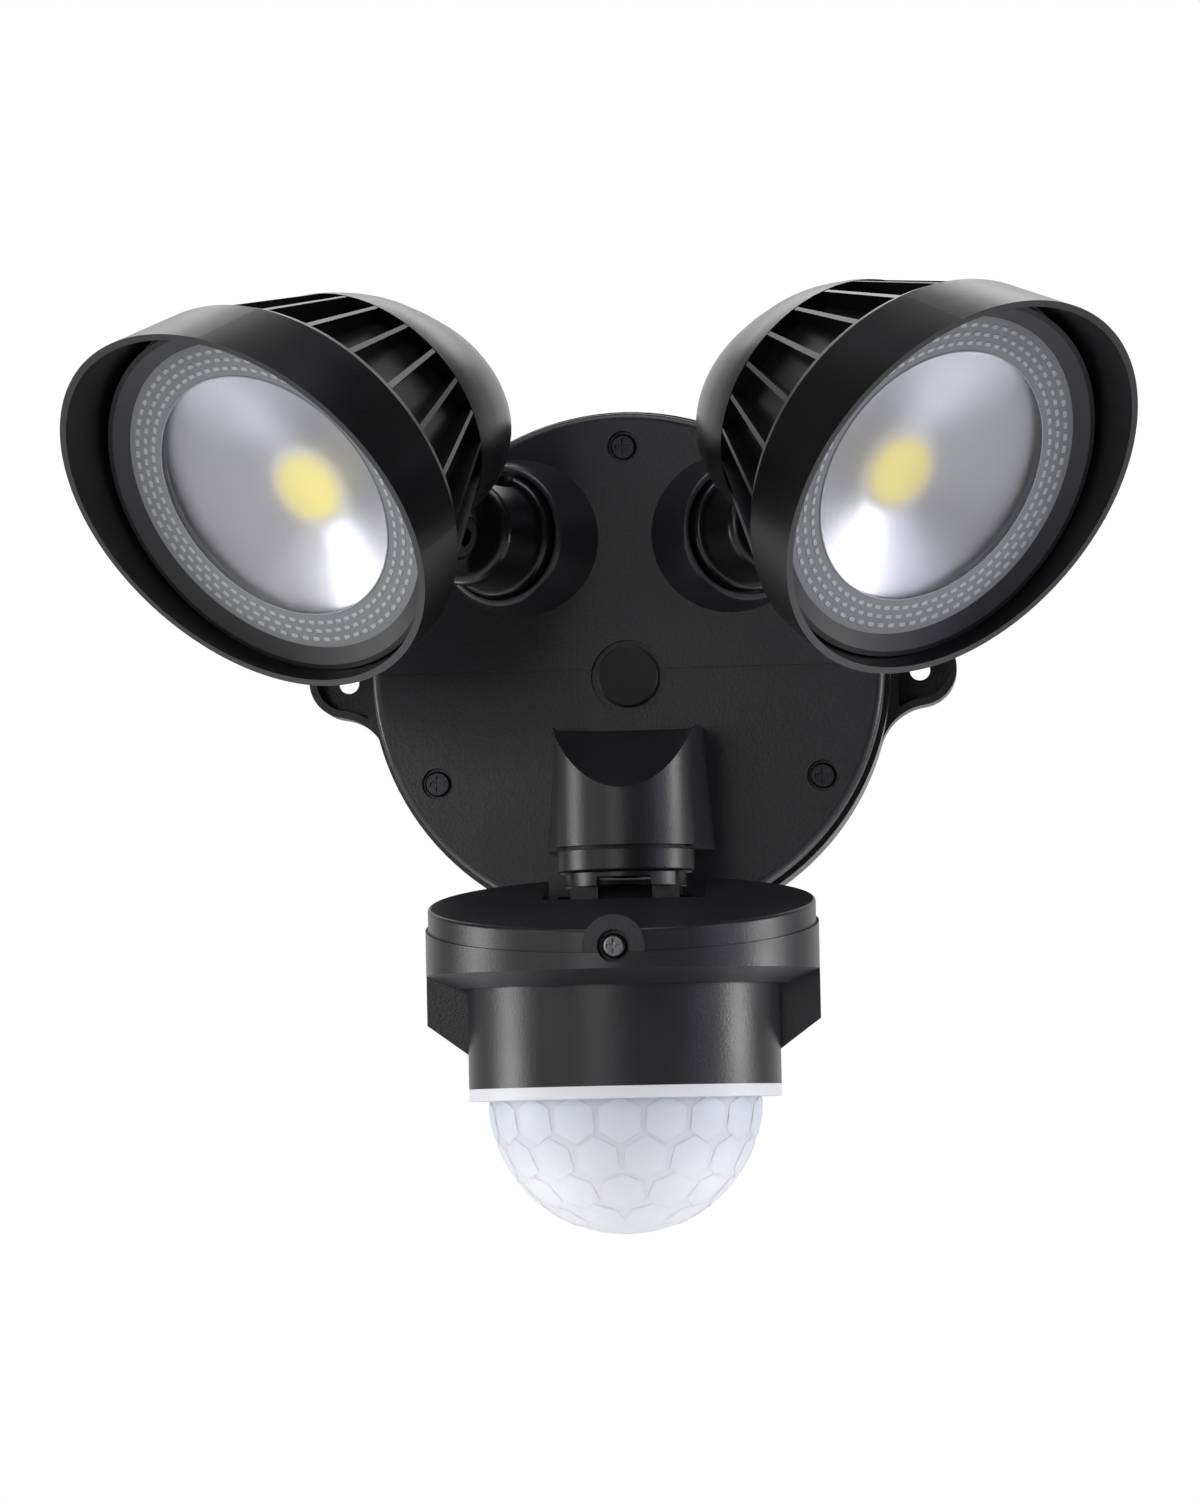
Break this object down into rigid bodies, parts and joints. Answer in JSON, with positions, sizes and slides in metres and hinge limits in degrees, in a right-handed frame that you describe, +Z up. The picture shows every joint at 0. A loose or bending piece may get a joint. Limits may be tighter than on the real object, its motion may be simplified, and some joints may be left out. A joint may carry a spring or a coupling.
{
  "type": "motion sensor security light",
  "caption": "Black wall light with finned swivelling lamp heads under short hoods and a hanging, turning motion sensor with a milky dome.",
  "frame": {"origin": "centre of the back box's wall face", "axes": "+Y into the wall, +Z up, +X to the right of someone who faces the wall"},
  "size_m": [0.2347, 0.1796, 0.2078],
  "materials": {
    "painted_black": "gloss",
    "satin_black_plastic": "satin",
    "black_plastic": "satin",
    "slate_plastic": "satin",
    "knob_plastic": "satin",
    "milky_plastic": "gloss",
    "clear_lens": "clear",
    "bright_aluminium": "satin",
    "plain_aluminium": "milled",
    "led_board_aluminium": "white solder mask",
    "yellow_phosphor": "matte",
    "black_rubber": "matte",
    "black_steel": "blackened",
    "zinc_steel": "zinc plated",
    "circuit_board": "solder mask",
    "transformer_core": "lacquered",
    "capacitor_sleeve": "gloss",
    "terminal_plastic": "satin"
  },
  "bodies": {
    "root": {"back_box": "black_plastic", "wall_gasket": "black_rubber", "cable_grommet": "black_rubber", "cover_gasket": "black_rubber", "front_cover": "satin_black_plastic", "cover_screws": "black_steel", "centre_plug": "black_rubber", "driver_board": "circuit_board", "board_screws": "zinc_steel", "transformer": "transformer_core", "capacitors": "capacitor_sleeve", "terminal_block": "terminal_plastic", "neck_seal": "black_rubber"},
    "left_arm": {"left_arm": "painted_black", "left_arm_seal": "black_rubber", "left_arm_nut": "zinc_steel"},
    "left_head": {"left_lamp_housing": "painted_black", "left_visor": "painted_black", "left_bezel_ring": "slate_plastic", "left_lamp_lens": "clear_lens", "left_lens_gasket": "black_rubber", "left_reflector": "bright_aluminium", "left_led_board": "led_board_aluminium", "left_led_chip": "yellow_phosphor", "left_heat_plate": "plain_aluminium", "left_knuckle_screw": "black_steel", "left_knuckle_nut": "black_steel"},
    "right_arm": {"right_arm": "painted_black", "right_arm_seal": "black_rubber", "right_arm_nut": "zinc_steel"},
    "right_head": {"right_lamp_housing": "painted_black", "right_visor": "painted_black", "right_bezel_ring": "slate_plastic", "right_lamp_lens": "clear_lens", "right_lens_gasket": "black_rubber", "right_reflector": "bright_aluminium", "right_led_board": "led_board_aluminium", "right_led_chip": "yellow_phosphor", "right_heat_plate": "plain_aluminium", "right_knuckle_screw": "black_steel", "right_knuckle_nut": "black_steel"},
    "sensor_neck": {"sensor_neck": "black_plastic", "neck_nut": "black_plastic", "tilt_bolt": "black_steel", "tilt_nut": "black_steel"},
    "sensor_head": {"sensor_lid": "satin_black_plastic", "lid_screw": "black_steel", "sensor_body": "satin_black_plastic", "dome_lens": "milky_plastic", "sensor_board": "circuit_board", "pir_detector": "zinc_steel"},
    "time_knob": {"time_knob": "knob_plastic"},
    "range_knob": {"range_knob": "knob_plastic"}
  },
  "joints": [
    {"name": "left_swivel", "type": "hinge", "parent": "root", "child": "left_arm", "pos_m": [-0.024, -0.0362, 0.0304], "axis": [-0.454, -0.891, 0], "range_deg": [-25.6, 34.4]},
    {"name": "left_tilt", "type": "hinge", "parent": "left_arm", "child": "left_head", "pos_m": [-0.04497, -0.07736, 0.0304], "axis": [0.863, -0.4397, -0.2487], "range_deg": [-33.2, 46.8]},
    {"name": "right_swivel", "type": "hinge", "parent": "root", "child": "right_arm", "pos_m": [0.024, -0.0362, 0.0304], "axis": [0.454, -0.891, 0], "range_deg": [-43.5, 16.5]},
    {"name": "right_tilt", "type": "hinge", "parent": "right_arm", "child": "right_head", "pos_m": [0.04497, -0.07736, 0.0304], "axis": [0.8171, 0.4163, 0.3987], "range_deg": [-32.3, 47.7]},
    {"name": "sensor_pan", "type": "hinge", "parent": "root", "child": "sensor_neck", "pos_m": [0, -0.0642, -0.045], "axis": [0, 0, 1], "range_deg": [-45, 45]},
    {"name": "sensor_tilt", "type": "hinge", "parent": "sensor_neck", "child": "sensor_head", "pos_m": [0, -0.0642, -0.0574], "axis": [1, 0, 0], "range_deg": [-15, 25]},
    {"name": "time_knob_turn", "type": "hinge", "parent": "sensor_head", "child": "time_knob", "pos_m": [-0.009, -0.05115, -0.0884], "axis": [0, 0, -1], "range_deg": [-135, 135]},
    {"name": "range_knob_turn", "type": "hinge", "parent": "sensor_head", "child": "range_knob", "pos_m": [0.009, -0.05115, -0.0884], "axis": [0, 0, -1], "range_deg": [-135, 135]}
  ]
}
